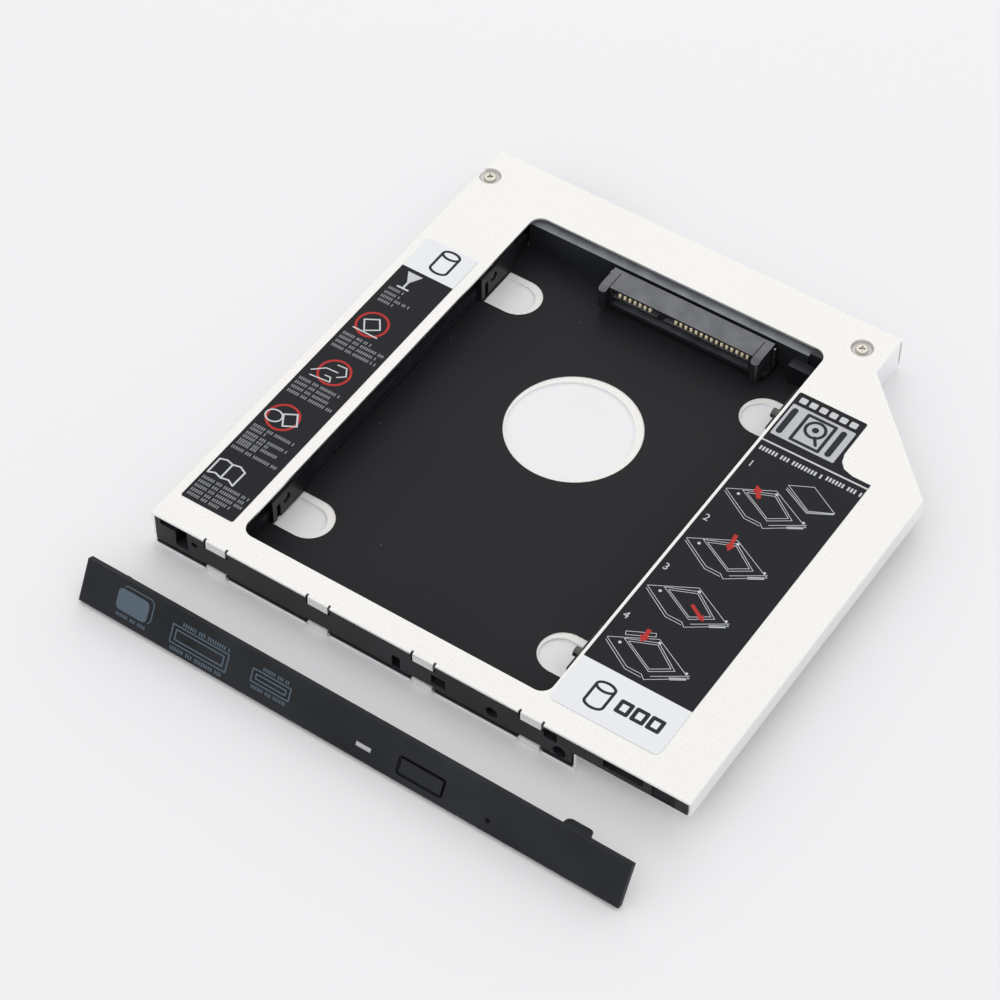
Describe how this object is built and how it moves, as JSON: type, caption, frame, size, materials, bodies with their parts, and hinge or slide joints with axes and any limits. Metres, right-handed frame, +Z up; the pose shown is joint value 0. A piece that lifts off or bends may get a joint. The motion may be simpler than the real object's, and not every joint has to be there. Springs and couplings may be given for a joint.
{
  "type": "laptop drive caddy",
  "caption": "Flat sheet-metal bay tray for a small storage drive, with an open window, a keyed drive socket, a rear plug, labels and a loose front bezel with a button.",
  "frame": {"origin": "centre of the base plate's round hole, on the underside of the tray", "axes": "+Z up out of the window, +Y towards the rear plug, +X to the right seen from the front"},
  "size_m": [0.131, 0.1492, 0.0096],
  "materials": {
    "tray_sheet": "satin",
    "dark_film": "matte",
    "dark_plastic": "satin",
    "connector_plastic": "satin",
    "board": "satin",
    "contact_metal": "polished",
    "plated_steel": "satin",
    "chip_ceramic": "matte",
    "label_film": "matte",
    "bezel_plastic": "fine texture",
    "lamp_plastic": "frosted"
  },
  "bodies": {
    "caddy": {"top_cover": "tray_sheet", "base_plate": "tray_sheet", "insulating_film": "dark_film", "moulded_frame": "dark_plastic", "rear_bar": "dark_plastic", "adapter_board": "board", "receptacle_housing": "connector_plastic", "signal_contacts": "contact_metal", "power_contacts": "contact_metal", "board_locks": "plated_steel", "host_plug_housing": "connector_plastic", "host_plug_contacts": "contact_metal", "board_capacitors": "chip_ceramic", "cover_screws": "plated_steel", "base_screws": "plated_steel", "drive_screws": "plated_steel", "left_label": "label_film", "right_label": "label_film"},
    "loose_bezel": {"bezel": "bezel_plastic", "led_window": "lamp_plastic"},
    "button": {"eject_button": "bezel_plastic"}
  },
  "joints": [
    {"name": "bezel_lift", "type": "slide", "parent": "caddy", "child": "loose_bezel", "axis": [0, 0, 1], "range_m": [0, 0.04]},
    {"name": "button_press", "type": "slide", "parent": "loose_bezel", "child": "button", "axis": [0.0089, 0.8944, -0.4472], "range_m": [0, 0.0006], "stiffness_N_per_m": 800, "springref_m": -0.0003}
  ]
}
